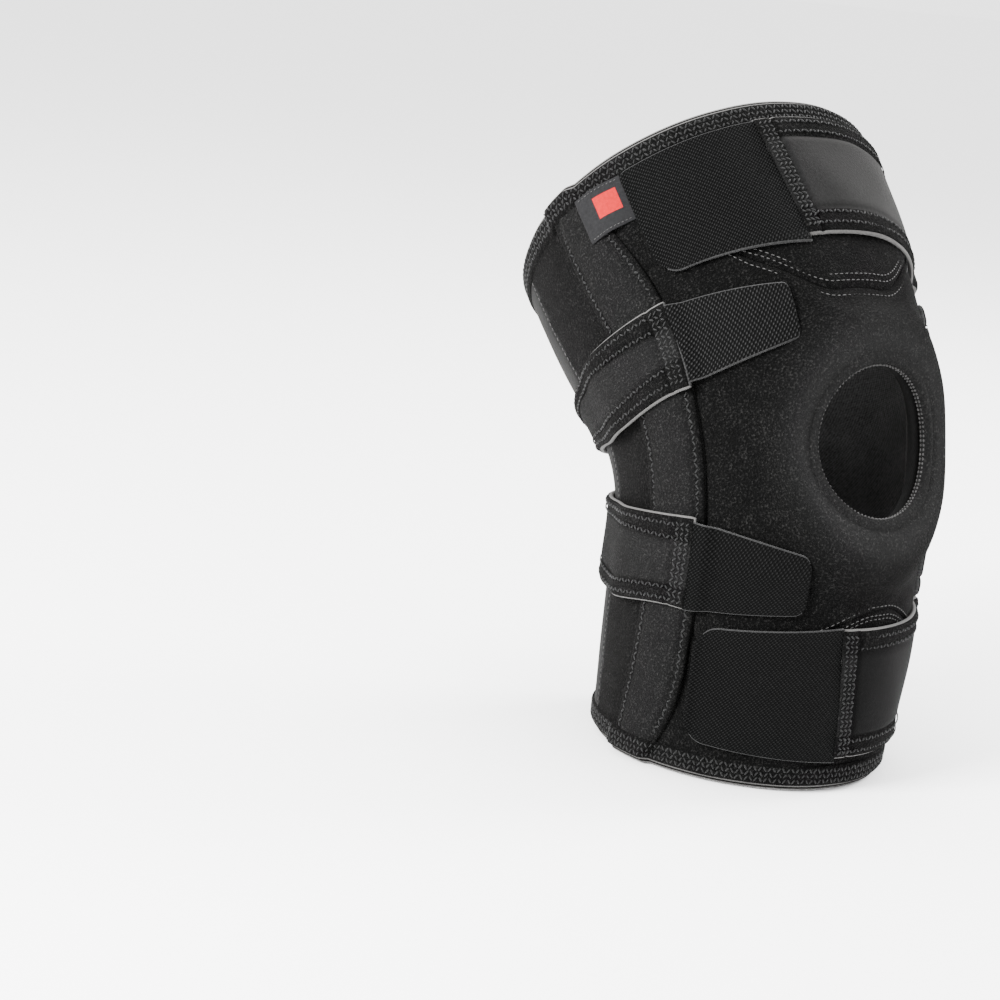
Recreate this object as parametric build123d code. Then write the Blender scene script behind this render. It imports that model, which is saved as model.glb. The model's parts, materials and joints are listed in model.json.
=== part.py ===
from build123d import *
import math
import os

# A wrap-on knee brace of neoprene, standing on its calf rim: sleeve panels, kneecap ring, side stays,
# and four straps whose mesh ends peel open.  Lengths in mm, angles in degrees.
# A place on the leg is (turn, run, lift): turn is the angle round the leg from the front centre, positive to
# the lateral side (-X); run is the length along the leg's centre line up from the calf rim; lift is the
# height above the sleeve's outer face.

# leg form
REST_FLEXION = 44.0                  # bend built into the sleeve
CALF_AXIS = 131.0                    # calf rim to the knee axis
THIGH_AXIS = 103.0                   # knee axis to the thigh rim
BEND_TANGENT = 45.0                  # half length of the bent zone, measured on the straight axes
STATIONS = (0.0, 0.25, 0.5, 0.65, 0.85, 1.0)
HALF_WIDTHS = (58.0, 60.0, 62.0, 67.0, 73.5, 75.5)
DEPTH_RATIOS = (1.05, 1.05, 1.06, 1.05, 1.02, 1.0)
FRONT_SHIFTS = (0.0, 1.0, 1.5, 1.2, 0.0, 0.0)
THIGH_RIM_TILT = 3.0
CENTRE_X = 1.57                      # middle of the whole brace before it is centred on the origin
CENTRE_Y = 27.59

# thicknesses
SLEEVE = 3.5
BACK_CLOTH = 2.2
STRAP = 3.0
MESH = 1.4
HOOK = 1.0
CHANNEL = 2.9
GAP = 0.35                           # air between neighbours on different bodies
SEAM = 0.15                          # half the gap between butted panels
CURVED_SEAM = 0.8                    # gap along the curved seams above and below the kneecap
CHANNEL_BASE = 0.35                  # lift of a channel's underside

# kneecap opening
HOLE_TURN = -3.0
HOLE_RUN = 120.5
HOLE_RADIUS = 30.0
BINDING = 3.0
RING_WIDTH = 13.0
RING_THICKNESS = 5.0

# side stays
STAY_TURN = 77.0
STAY_WIDTH = 6.0
STAY_THICKNESS = 1.4
STAY_ENDS = (14.0, 214.0)
CAP_LENGTH = 9.0
CAP_WIDTH = 8.4
CAP_THICKNESS = 2.2

BEND = math.radians(REST_FLEXION)
BEND_RADIUS = BEND_TANGENT / math.tan(BEND / 2)
BEND_START = CALF_AXIS - BEND_TANGENT
BEND_END = BEND_START + BEND_RADIUS * BEND
LENGTH = BEND_END + THIGH_AXIS - BEND_TANGENT


def spline_curvature(xs, ys):
    """Second derivatives, at its points, of the natural cubic spline through them."""
    n = len(xs)
    h = [xs[i + 1] - xs[i] for i in range(n - 1)]
    curve = [0.0] * n
    low, right = [0.0] * n, [0.0] * n
    for i in range(1, n - 1):
        rate = (ys[i + 1] - ys[i]) / h[i] - (ys[i] - ys[i - 1]) / h[i - 1]
        pivot = 2 * (h[i - 1] + h[i]) - h[i - 1] * low[i - 1]
        low[i] = h[i] / pivot
        right[i] = (6 * rate - h[i - 1] * right[i - 1]) / pivot
    for i in range(n - 2, 0, -1):
        curve[i] = right[i] - low[i] * curve[i + 1]
    return curve


def profile(ys):
    """Smooth function of the run through one value at each station."""
    xs = [s * LENGTH for s in STATIONS]
    bends = spline_curvature(xs, ys)

    def value(run):
        i = max(k for k in range(len(xs) - 1) if k == 0 or xs[k] <= run)
        h = xs[i + 1] - xs[i]
        a, b = (xs[i + 1] - run) / h, (run - xs[i]) / h
        curve = (a**3 - a) * bends[i] + (b**3 - b) * bends[i + 1]
        return a * ys[i] + b * ys[i + 1] + curve * h * h / 6

    return value


half_width = profile(HALF_WIDTHS)
half_depth = profile([w * r for w, r in zip(HALF_WIDTHS, DEPTH_RATIOS)])
front_shift = profile(FRONT_SHIFTS)


def clamp(x, low=0.0, high=1.0):
    return min(max(x, low), high)


def smooth(x):
    x = clamp(x)
    return x * x * (3 - 2 * x)


def centre_line(run):
    """Y, Z and lean angle of the leg's centre line."""
    lean = clamp((run - BEND_START) / BEND_RADIUS, 0.0, BEND)
    straight = max(run - BEND_END, 0.0)
    if run < BEND_START:
        return 0.0, run, 0.0
    y = BEND_RADIUS * (1 - math.cos(lean)) + straight * math.sin(BEND)
    z = BEND_START + BEND_RADIUS * math.sin(lean) + straight * math.cos(BEND)
    return y, z, lean


def place(turn, run, lift):
    """The point of the leg at a turn, a run and a lift."""
    y, z, lean = centre_line(run)
    angle = math.radians(turn)
    x = -(half_width(run) + lift) * math.sin(angle)
    forward = (half_depth(run) + lift) * math.cos(angle) + front_shift(run)
    tilt = math.radians(THIGH_RIM_TILT) * clamp((run / LENGTH - 0.6) / 0.4)
    along = forward * math.tan(tilt)
    y += along * math.sin(lean) - forward * math.cos(lean)
    z += along * math.cos(lean) + forward * math.sin(lean)
    return Vector(x - CENTRE_X, y - CENTRE_Y, z)


def level(value):
    """A constant as a function."""
    return lambda _: value


def between(x0, y0, x1, y1):
    """Straight line function through two points."""
    return lambda x: y0 + (y1 - y0) * (x - x0) / (x1 - x0)


def sheet(turns, runs, lifts, rows=9):
    """Closed solid of cloth lying on the leg.  turns are two functions of run, runs two functions of turn,
    and lifts two functions of turn, each pair from low to high."""
    middle = (runs[0](0.0) + runs[1](0.0)) / 2
    first, last = turns[0](middle), turns[1](middle)
    columns = max(5, 2 + round((last - first) / 4))

    def point(i, j, side):
        p, q = i / (columns - 1), j / (rows - 1)
        guess = first + (last - first) * p
        run = runs[0](guess) + (runs[1](guess) - runs[0](guess)) * q
        turn = turns[0](run) + (turns[1](run) - turns[0](run)) * p
        return place(turn, run, lifts[side](turn))

    def skin(side):
        grid = [[point(i, j, side) for i in range(columns)] for j in range(rows)]
        return Face.make_surface_from_array_of_points(grid, tol=0.05, min_deg=3, max_deg=3)

    inner, outer = skin(0), skin(1)
    faces = [inner, outer]
    for edge in inner.edges():
        facing = min(outer.edges(), key=lambda other: (other.center() - edge.center()).length)
        faces.append(Face.make_surface_from_curves(edge, facing))
    return Solid(Shell(faces))


def round_corner(solid, turn, run, radius, inward):
    """Rounds a corner of a sheet; inward says which way (turn, run) the sheet lies from the corner."""
    corner = place(turn, run, 2)
    along = (place(turn + inward[0], run, 2) - corner).normalized()
    upward = (place(turn, run + inward[1], 2) - corner).normalized()
    plane = Plane(origin=corner, x_dir=along, z_dir=along.cross(upward))
    square = Pos(radius / 2 - 1, radius / 2 - 1) * Box(radius + 2, radius + 2, 16)
    return solid - plane * (square - Pos(radius, radius) * Cylinder(radius, 20))


# ---- seams of the sleeve

def channel_front(run):
    """Turn of the seam in front of a stay channel, which closes in towards both rims."""
    upper, lower = max(run - 160, 0) / 60, max(45 - run, 0) / 45
    return 65 + 10 * upper**2 + 14 * lower**2


def channel_rear(run):
    return 87 + 8 * (max(70 - run, 0) / 70) ** 2


def upper_gusset(turn):
    away = abs(turn)
    return 157 + 14 * smooth((away - 10) / 35) + 9 * smooth((away - 34) / 18)


def lower_gusset(turn):
    away = abs(turn + 8)
    return 74 - 11 * smooth((away - 3) / 32) - 6 * smooth((away - 28) / 18)


def front_panel(low, high):
    turns = (lambda run: -channel_front(run), channel_front)
    return sheet(turns, (low, high), (level(-SLEEVE), level(0.0)), 11)


def back_panel(low, high):
    turns = (lambda run: channel_front(run) + SEAM, lambda run: 360 - channel_front(run) - SEAM)
    return sheet(turns, (level(low), level(high)), (level(-BACK_CLOTH - 0.3), level(-0.3)), 11)


def hole_plane():
    """Plane across the kneecap opening, its normal pointing forwards out of the leg."""
    lean = centre_line(HOLE_RUN)[2]
    forward = Vector(0, -math.cos(lean), math.sin(lean))
    return Plane(origin=place(HOLE_TURN, HOLE_RUN, 0), x_dir=Vector(1, 0, 0), z_dir=forward)


def hole_plug(radius):
    return hole_plane() * Cylinder(radius, 80)


def knee_front_panel():
    def low(turn):
        return lower_gusset(turn) + CURVED_SEAM

    def high(turn):
        return upper_gusset(turn) - CURVED_SEAM

    return front_panel(low, high) - hole_plug(HOLE_RADIUS + BINDING + GAP)


def ring_about_hole(inner, outer, low, high):
    """Ring of cloth or foam that follows the leg around the kneecap opening."""
    turns = (level(HOLE_TURN - 46), level(HOLE_TURN + 46))
    blank = sheet(turns, (level(88), level(153)), (level(low), level(high)), 13)
    return (blank & hole_plug(outer)) - hole_plug(inner)


def patella_ring():
    top = -SLEEVE - GAP
    return ring_about_hole(HOLE_RADIUS + 1, HOLE_RADIUS + 1 + RING_WIDTH, top - RING_THICKNESS, top)


def patella_rim_binding():
    return ring_about_hole(HOLE_RADIUS, HOLE_RADIUS + BINDING, -SLEEVE, 1.2)


# ---- stays in their channels: side is +1 lateral, -1 medial

def mirrored(pair, side):
    """Turn limits for the chosen side of the leg, low one first."""
    if side > 0:
        return pair
    return (lambda run: -pair[1](run), lambda run: -pair[0](run))


def strip(side, width, runs, lifts):
    """Narrow sheet of constant width along the stay's line."""
    def half(run):
        return math.degrees(width / 2 / half_width(run))

    pair = (lambda run: STAY_TURN - half(run), lambda run: STAY_TURN + half(run))
    runs, lifts = [level(run) for run in runs], [level(lift) for lift in lifts]
    return sheet(mirrored(pair, side), runs, lifts, 21)


STAY_MIDDLE = CHANNEL_BASE + CHANNEL / 2      # lift of the middle of a stay


def stay(side):
    lifts = (STAY_MIDDLE - STAY_THICKNESS / 2, STAY_MIDDLE + STAY_THICKNESS / 2)
    return strip(side, STAY_WIDTH, STAY_ENDS, lifts)


def stay_cap(side, upper):
    """Moulded cap that closes over one end of a stay."""
    end = STAY_ENDS[1] if upper else STAY_ENDS[0]
    outward = 1 if upper else -1
    runs = sorted((end + outward * 1.5, end - outward * (CAP_LENGTH - 1.5)))
    lifts = (STAY_MIDDLE - CAP_THICKNESS / 2, STAY_MIDDLE + CAP_THICKNESS / 2)
    mouth = strip(side, STAY_WIDTH + 0.4, sorted((end + outward * 0.2, end - outward * 30)),
                  (STAY_MIDDLE - STAY_THICKNESS / 2 - 0.1, STAY_MIDDLE + STAY_THICKNESS / 2 + 0.1))
    return strip(side, CAP_WIDTH, runs, lifts) - mouth


def stay_channel(side):
    """Flat tube of cloth from rim to rim with the pocket for the stay."""
    pair = (lambda run: channel_front(run) + 0.3, channel_rear)
    runs = (level(1.0), level(LENGTH - 2.0))
    cover = sheet(mirrored(pair, side), runs, (level(CHANNEL_BASE), level(CHANNEL_BASE + CHANNEL)), 21)
    pocket = strip(side, CAP_WIDTH + 1.0, (STAY_ENDS[0] - 3, STAY_ENDS[1] + 3),
                   (STAY_MIDDLE - CAP_THICKNESS / 2 - 0.1, STAY_MIDDLE + CAP_THICKNESS / 2 + 0.1))
    return cover - pocket


# ---- straps

TOP_BAND = (171.0, 219.5)
BOTTOM_BAND = (15.0, 67.0)
UPPER_MID_HIGH = 165.0
LOWER_MID_HIGH = 100.0
BAND_ANCHOR = -104.0                 # sewn ends of the straps that cross the front of the leg
MID_ANCHOR = 296.0                   # sewn ends of the straps that cross behind the knee
REAR = (117.0, 243.0)                # turns between which those two cross the hollow of the knee
MESH_TOP = STRAP - 0.5               # height of a mesh end's outer face over the underside of its strap


def over_channels(turn):
    """Lift of a strap's underside, which rises to pass over the stay channels."""
    away = abs((turn + 180) % 360 - 180)
    return GAP + (CHANNEL + CHANNEL_BASE) * smooth((away - 58.5) / 5.5) * (1 - smooth((away - 95) / 17))


def upper_mid_low(turn):
    return 140 - 10 * smooth((min(turn, 360 - turn) - 64) / 47)


def lower_mid_low(turn):
    return 68.5 - 6.5 * smooth((turn - 70) / 41) * (1 - smooth((turn - 200) / 45))


def strap(turns, runs):
    lifts = (over_channels, lambda turn: over_channels(turn) + STRAP)
    return sheet(turns, runs, lifts)


def band(seam, runs):
    """Strap that crosses the front of the leg, from its sewn end to the seam with its mesh end."""
    return strap((level(BAND_ANCHOR), lambda run: seam(run) - SEAM), (level(runs[0]), level(runs[1])))


def mesh_end(turns, runs, corners):
    """Thin mesh end of a strap; corners lists its free corners as (turn, run, radius, inward)."""
    lifts = (lambda turn: over_channels(turn) + MESH_TOP - MESH, lambda turn: over_channels(turn) + MESH_TOP)
    body = sheet(turns, runs, lifts)
    for corner in corners:
        body = round_corner(body, *corner)
    return body


def hook_pad(turns, runs):
    """Hook fastener under a mesh end, which grips the plush sleeve."""
    top = MESH_TOP - MESH - 0.1
    lifts = (lambda turn: over_channels(turn) + top - HOOK, lambda turn: over_channels(turn) + top)
    return sheet((level(turns[0]), level(turns[1])), (level(runs[0]), level(runs[1])), lifts)


def top_strap():
    seam = between(171, 15, 219, 18)
    outline = (lambda run: seam(run) + SEAM, level(60.5)), (between(19, 169, 60, 173), level(219))
    corners = [(60.5, 173, 8.0, (-1, 1)), (60.5, 219, 3.0, (-1, -1))]
    return {
        "top_strap_band": band(seam, TOP_BAND),
        "top_strap_mesh": mesh_end(*outline, corners),
        "top_strap_hook_pad": hook_pad((30, 57), (179, 215)),
    }


def bottom_strap():
    seam = between(15, 4, 67, 10)
    ends = (lambda run: seam(run) + SEAM, level(61.5))
    outline = ends, (between(8, 13, 58, 16), between(12, 67.5, 60, 62))
    corners = [(61.5, 16.2, 8.0, (-1, 1)), (61.5, 61.8, 8.0, (-1, -1))]
    return {
        "bottom_strap_band": band(seam, BOTTOM_BAND),
        "bottom_strap_mesh": mesh_end(*outline, corners),
        "bottom_strap_hook_pad": hook_pad((24, 58), (22, 57)),
    }


def mid_strap(name, low, high, seam, outline, corners, hook):
    """Strap sewn to the medial side, led behind the knee and forward over the lateral side.  It is cut where
    it enters the hollow of the knee, because there it creases and elsewhere it keeps its shape."""
    spans = {"side": (seam + SEAM, REAR[0] - SEAM), "rear": REAR, "anchor": (REAR[1] + SEAM, MID_ANCHOR)}
    pieces = {}
    for span, turns in spans.items():
        pieces[f"{name}_{span}"] = strap((level(turns[0]), level(turns[1])), (low, level(high)))
    pieces[f"{name}_mesh"] = mesh_end(*outline, corners)
    pieces[f"{name}_hook_pad"] = hook_pad(*hook)
    return pieces


def upper_mid_strap():
    seam, tip = 64.0, 27.0
    ends = (level(tip), level(seam - SEAM))
    outline = ends, (between(tip, 146.5, seam, 141), between(tip, 159.5, seam, 164))
    corners = [(tip, 146.5, 2.0, (1, 1)), (tip, 159.5, 1.8, (1, -1))]
    hook = ((31, 56), (148.5, 157.5))
    return mid_strap("upper_mid_strap", upper_mid_low, UPPER_MID_HIGH, seam, outline, corners, hook)


def lower_mid_strap():
    seam, tip = 67.0, 26.0
    ends = (level(tip), level(seam - SEAM))
    outline = ends, (between(tip, 73, seam, 68), between(tip, 92, seam, 99))
    corners = [(tip, 73, 4.0, (1, 1)), (tip, 92, 3.5, (1, -1))]
    hook = ((31, 58), (76, 89.5))
    return mid_strap("lower_mid_strap", lower_mid_low, LOWER_MID_HIGH, seam, outline, corners, hook)


def side_label():
    """Small woven label sewn beside the end of the top strap, half on the stay channel."""
    low = lambda turn: GAP + (CHANNEL + CHANNEL_BASE) * smooth((turn - 60) / 11)
    lifts = (low, lambda turn: low(turn) + 0.6)
    return sheet((level(61.2), level(76)), (level(200.5), level(219.5)), lifts)


def sleeve():
    return {
        "thigh_front_panel": front_panel(lambda turn: upper_gusset(turn), level(LENGTH)),
        "knee_front_panel": knee_front_panel(),
        "calf_front_panel": front_panel(level(0), lambda turn: lower_gusset(turn)),
        "thigh_back_panel": back_panel(BEND_END + SEAM, LENGTH),
        "knee_back_panel": back_panel(BEND_START + SEAM, BEND_END - SEAM),
        "calf_back_panel": back_panel(0, BEND_START - SEAM),
        "patella_ring": patella_ring(),
        "patella_rim_binding": patella_rim_binding(),
        "side_label": side_label(),
    }


def stays():
    pieces = {}
    for name, side in (("lateral", 1), ("medial", -1)):
        pieces[f"{name}_stay_channel"] = stay_channel(side)
        pieces[f"{name}_stay"] = stay(side)
        pieces[f"{name}_stay_upper_cap"] = stay_cap(side, True)
        pieces[f"{name}_stay_lower_cap"] = stay_cap(side, False)
    return pieces


def main():
    os.makedirs("parts", exist_ok=True)
    groups = (sleeve(), stays(), top_strap(), upper_mid_strap(), lower_mid_strap(), bottom_strap())
    for group in groups:
        for name, solid in group.items():
            export_step(solid, f"parts/{name}.step")


main()
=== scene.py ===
# Knee brace: the looks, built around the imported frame.
import json
import math
import bpy
import numpy as np
from mathutils import Matrix, Vector


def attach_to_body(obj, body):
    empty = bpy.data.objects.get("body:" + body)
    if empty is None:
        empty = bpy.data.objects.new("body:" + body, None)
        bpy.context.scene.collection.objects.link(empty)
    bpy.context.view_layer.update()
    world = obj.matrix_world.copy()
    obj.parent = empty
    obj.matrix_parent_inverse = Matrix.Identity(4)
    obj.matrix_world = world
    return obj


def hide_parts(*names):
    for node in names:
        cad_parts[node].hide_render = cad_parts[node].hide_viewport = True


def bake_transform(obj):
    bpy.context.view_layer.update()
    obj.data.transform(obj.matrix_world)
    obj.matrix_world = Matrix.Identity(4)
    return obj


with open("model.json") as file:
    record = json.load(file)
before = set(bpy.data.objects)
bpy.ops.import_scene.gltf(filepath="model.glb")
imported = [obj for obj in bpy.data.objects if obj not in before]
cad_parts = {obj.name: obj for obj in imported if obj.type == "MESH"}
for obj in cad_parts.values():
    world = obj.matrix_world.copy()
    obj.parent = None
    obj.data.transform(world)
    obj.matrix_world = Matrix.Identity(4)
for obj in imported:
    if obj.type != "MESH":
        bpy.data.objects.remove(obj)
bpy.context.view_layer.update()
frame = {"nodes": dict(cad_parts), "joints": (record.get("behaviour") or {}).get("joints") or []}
print("frame loaded:", len(frame["nodes"]), "nodes")

mm = 0.001
kneeAxis = Vector(next(j for j in frame["joints"] if j["name"] == "knee_flexion")["pos_m"])

# the leg that the sleeve is cut for, in mm and degrees
leg = {
    "flexion": 44.0, "calf": 131.0, "thigh": 103.0, "tangent": 45.0, "rimTilt": 3.0,
    "stations": (0.0, 0.25, 0.5, 0.65, 0.85, 1.0),
    "widths": (58.0, 60.0, 62.0, 67.0, 73.5, 75.5),
    "ratios": (1.05, 1.05, 1.06, 1.05, 1.02, 1.0),
    "shifts": (0.0, 1.0, 1.5, 1.2, 0.0, 0.0),
}
bend = math.radians(leg["flexion"])
bendRadius = leg["tangent"] / math.tan(bend / 2)
bendStart = leg["calf"] - leg["tangent"]
bendEnd = bendStart + bendRadius * bend
rimRun = bendEnd + leg["thigh"] - leg["tangent"]


def curveThrough(values):
    # natural cubic spline over the stations, as a function of the run
    xs, ys = np.array(leg["stations"]) * rimRun, np.array(values, float)
    h = np.diff(xs)
    n = len(xs)
    system, right = np.eye(n), np.zeros(n)
    for i in range(1, n - 1):
        system[i, i - 1:i + 2] = h[i - 1], 2 * (h[i - 1] + h[i]), h[i]
        right[i] = 6 * ((ys[i + 1] - ys[i]) / h[i] - (ys[i] - ys[i - 1]) / h[i - 1])
    second = np.linalg.solve(system, right)

    def value(run):
        i = np.clip(np.searchsorted(xs, run, side="right") - 1, 0, n - 2)
        a, b = (xs[i + 1] - run) / h[i], (run - xs[i]) / h[i]
        curve = (a**3 - a) * second[i] + (b**3 - b) * second[i + 1]
        return a * ys[i] + b * ys[i + 1] + curve * h[i]**2 / 6

    return value


halfWidth = curveThrough(leg["widths"])
halfDepth = curveThrough([w * r for w, r in zip(leg["widths"], leg["ratios"])])
frontShift = curveThrough(leg["shifts"])


def smooth(x):
    x = np.clip(x, 0, 1)
    return x * x * (3 - 2 * x)


def onLeg(turn, run, lift):
    # point in metres for a turn (degrees from the front), a run up the leg and a lift off the sleeve (mm)
    turn, run, lift = np.broadcast_arrays(*(np.asarray(v, float) for v in (turn, run, lift)))
    lean = np.clip((run - bendStart) / bendRadius, 0, bend)
    over = np.maximum(run - bendEnd, 0)
    y = bendRadius * (1 - np.cos(lean)) + over * math.sin(bend)
    z = np.where(run < bendStart, run, bendStart + bendRadius * np.sin(lean)) + over * math.cos(bend)
    angle = np.radians(turn)
    x = -(halfWidth(run) + lift) * np.sin(angle)
    ahead = (halfDepth(run) + lift) * np.cos(angle) + frontShift(run)
    tilt = np.radians(leg["rimTilt"]) * np.clip((run / rimRun - 0.6) / 0.4, 0, 1)
    y = y + ahead * np.tan(tilt) * np.sin(lean) - ahead * np.cos(lean)
    z = z + ahead * np.tan(tilt) * np.cos(lean) + ahead * np.sin(lean)
    place = np.stack([x, y, z - leg["calf"]], -1) * mm
    return place + np.array(kneeAxis)


def arcLength(turn, run):
    # mm round the leg for a turn in degrees
    return np.radians(turn) * (halfWidth(run) + halfDepth(run)) / 2


# seams, as in the CAD model
def channelFront(run):
    return 65 + 10 * (np.maximum(run - 160, 0) / 60)**2 + 14 * (np.maximum(45 - run, 0) / 45)**2


def channelRear(run):
    return 87 + 8 * (np.maximum(70 - run, 0) / 70)**2


def upperGusset(turn):
    return 157 + 14 * smooth((np.abs(turn) - 10) / 35) + 9 * smooth((np.abs(turn) - 34) / 18)


def lowerGusset(turn):
    return 74 - 11 * smooth((np.abs(turn + 8) - 3) / 32) - 6 * smooth((np.abs(turn + 8) - 28) / 18)


def overChannels(turn):
    away = np.abs((turn + 180) % 360 - 180)
    return 0.35 + 3.25 * smooth((away - 58.5) / 5.5) * (1 - smooth((away - 95) / 17))


# ---- meshes
def meshObject(name, points, faces, materials, slots=None, uv=None):
    mesh = bpy.data.meshes.new(name)
    mesh.from_pydata([tuple(p) for p in points], [], faces)
    for material in materials:
        mesh.materials.append(material)
    if slots is not None:
        mesh.polygons.foreach_set("material_index", np.asarray(slots, np.int32))
    mesh.polygons.foreach_set("use_smooth", [True] * len(mesh.polygons))
    if uv is not None:
        layer = mesh.uv_layers.new(name="cloth")
        corners = np.empty(len(mesh.loops), np.int32)
        mesh.loops.foreach_get("vertex_index", corners)
        layer.data.foreach_set("uv", np.asarray(uv, np.float32)[corners].ravel())
    mesh.update()
    piece = bpy.data.objects.new(name, mesh)
    bpy.context.scene.collection.objects.link(piece)
    return piece


cutEdge = [  # a raw neoprene edge: how far it stands out (mm), how deep (0 face, 1 underside), its material
    (0.20, 0.12, 0), (0.25, 0.24, 0), (0.75, 0.34, 1), (0.80, 0.68, 1), (0.5, 0.86, 2), (0.0, 1.0, 2)]
rimEdge = [  # the raw edge of a rim, cut longer under its binding
    (0.15, 0.04, 0), (0.15, 0.16, 0), (0.95, 0.19, 1), (1.00, 0.26, 1), (1.1, 0.28, 0), (1.85, 0.32, 0),
    (2.40, 0.36, 1), (2.40, 0.50, 1), (2.1, 0.54, 2), (1.6, 0.92, 2), (0.0, 1.0, 2)]
doubleEdge = [  # two layers of neoprene sewn edge to edge
    (0.30, 0.10, 0), (0.55, 0.18, 1), (0.60, 0.42, 1), (0.35, 0.50, 0), (0.35, 0.58, 0),
    (0.55, 0.64, 1), (0.50, 0.86, 1), (0.25, 0.95, 2), (0.0, 1.0, 2)]
netEdge = [(0.3, 0.2, 1), (0.35, 0.7, 1), (0.0, 1.0, 2)]
plainEdge = [(0.3, 0.25, 0), (0.35, 0.7, 0), (0.0, 1.0, 2)]


def slab(name, turn, run, top, base, materials, edge=plainEdge, loop=False, paint=None, paleEnd=None,
         freeRow=0, paintedHighlight=None):
    # closed sheet of cloth on a grid of turns and runs; loop joins its two ends across the columns,
    # paint gives the material of each outer face, paleEnd the column at whose end the foam shows,
    # freeRow which of a loop's two borders gets the edge, and the last argument a painted highlight: how much
    # paler the plush is painted at each point
    rows, columns = turn.shape
    top, base = np.broadcast_to(top, turn.shape), np.broadcast_to(base, turn.shape)
    count = rows * columns
    index = np.arange(count).reshape(rows, columns)
    points = [onLeg(turn, run, top).reshape(-1, 3), onLeg(turn, run, base).reshape(-1, 3)]
    flat = np.stack([arcLength(turn, run), run], -1)
    uv = [flat.reshape(-1, 2), flat.reshape(-1, 2)]
    faces, slots = [], []
    span = columns if loop else columns - 1

    def quads(grid, flip, slot):
        for i in range(rows - 1):
            for j in range(span):
                k = (j + 1) % columns
                q = (grid[i, j], grid[i, k], grid[i + 1, k], grid[i + 1, j])
                faces.append(tuple(int(v) for v in (q[::-1] if flip else q)))
                slots.append(slot if paint is None or slot else int(paint[i, j]))

    quads(index, True, 0)
    quads(index + count, False, 2)
    if loop:
        borders = [[(0, j) for j in range(columns)], [(rows - 1, j) for j in range(columns)][::-1]]
    else:
        ring = [(0, j) for j in range(columns)] + [(i, columns - 1) for i in range(1, rows)]
        ring += [(rows - 1, j) for j in range(columns - 2, -1, -1)] + [(i, 0) for i in range(rows - 2, 0, -1)]
        borders = [ring]
    for number, ring in enumerate(borders):
        ii = np.array([r[0] for r in ring])
        jj = np.array([r[1] for r in ring])
        inI = np.clip(ii, 1, rows - 2)
        inJ = jj if loop else np.clip(jj, 1, columns - 2)
        out = flat[ii, jj] - flat[inI, inJ]
        out /= np.maximum(np.linalg.norm(out, axis=1, keepdims=True), 1e-6)
        wide = np.degrees(1 / ((halfWidth(run[ii, jj]) + halfDepth(run[ii, jj])) / 2))
        previous = index[ii, jj]
        steps = edge if number == freeRow else plainEdge
        for step, (reach, depth, slot) in enumerate(steps):
            last = step == len(steps) - 1
            if last:
                here = index[ii, jj] + count
            else:
                t = turn[ii, jj] + out[:, 0] * reach * wide
                r = run[ii, jj] + out[:, 1] * reach
                lift = top[ii, jj] + (base[ii, jj] - top[ii, jj]) * depth
                here = sum(len(p) for p in points) + np.arange(len(ring))
                points.append(onLeg(t, r, lift))
                uv.append(flat[ii, jj] + out * reach)
            for k in range(len(ring)):
                n = (k + 1) % len(ring)
                faces.append((int(previous[k]), int(previous[n]), int(here[n]), int(here[k])))
                atEnd = not loop and jj[k] == jj[n]
                slots.append(2 if atEnd and slot == 1 and jj[k] != paleEnd else slot)
            previous = here
    piece = meshObject(name, np.concatenate(points), faces, materials, slots, np.concatenate(uv))
    # painted highlight: per-point paling of the plush, stored as a point attribute
    if paintedHighlight is not None:
        rest = len(piece.data.vertices) - 2 * count
        values = np.concatenate([paintedHighlight.ravel(), paintedHighlight.ravel(), np.zeros(rest)]).astype(np.float32)
        piece.data.attributes.new("paintedHighlight", "FLOAT", "POINT").data.foreach_set("value", values)
    return piece


def grid(turns, runs, step=1.3):
    # grid over two functions of run (turns) and two functions of turn (runs)
    low, high = runs
    left, right = turns
    middle = float((low(0.0) + high(0.0)) / 2)
    wide = arcLength(float(right(middle)) - float(left(middle)), middle)
    tall = float(np.max(high(np.linspace(-60, 60, 9)) - low(np.linspace(-60, 60, 9))))
    columns, rows = max(4, int(wide / step) + 2), max(4, int(tall / step) + 2)
    p, q = np.meshgrid(np.linspace(0, 1, columns), np.linspace(0, 1, rows))
    guess = left(middle) + (right(middle) - left(middle)) * p
    run = low(guess) + (high(guess) - low(guess)) * q
    turn = left(run) + (right(run) - left(run)) * p
    return turn, run, p, q


def constant(value):
    return lambda x: value + 0 * np.asarray(x, float)


def line(x0, y0, x1, y1):
    return lambda x: y0 + (y1 - y0) * (np.asarray(x, float) - x0) / (x1 - x0)


def ripple(turn, run, size, seed):
    # slow unevenness of soft cloth, in mm
    s = np.random.default_rng(seed).uniform(0, 6.28, 6)
    a, b = arcLength(turn, run), run
    wave = np.sin(a / 9.0 + s[0] + 1.3 * np.sin(b / 17 + s[1])) * np.sin(b / 11.0 + s[2])
    wave = wave + 0.6 * np.sin(a / 5.1 + s[3]) * np.sin(b / 6.3 + s[4] + np.sin(a / 13 + s[5]))
    return size * wave


# ---- materials
def principled(name):
    material = bpy.data.materials.new(name)
    material.use_nodes = True
    nodes, links = material.node_tree.nodes, material.node_tree.links
    return material, nodes, links, nodes["Principled BSDF"]


def ramp(nodes, links, source, stops):
    node = nodes.new("ShaderNodeValToRGB")
    elements = node.color_ramp.elements
    while len(elements) < len(stops):
        elements.new(0.5)
    for element, (at, color) in zip(elements, stops):
        element.position = at
        element.color = (*color, 1)
    links.new(source, node.inputs["Fac"])
    return node.outputs["Color"]


def noise(nodes, links, vector, scale, detail=3.0, rough=0.6):
    node = nodes.new("ShaderNodeTexNoise")
    node.inputs["Scale"].default_value = scale
    node.inputs["Detail"].default_value = detail
    node.inputs["Roughness"].default_value = rough
    links.new(vector, node.inputs["Vector"])
    return node.outputs["Fac"]


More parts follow.
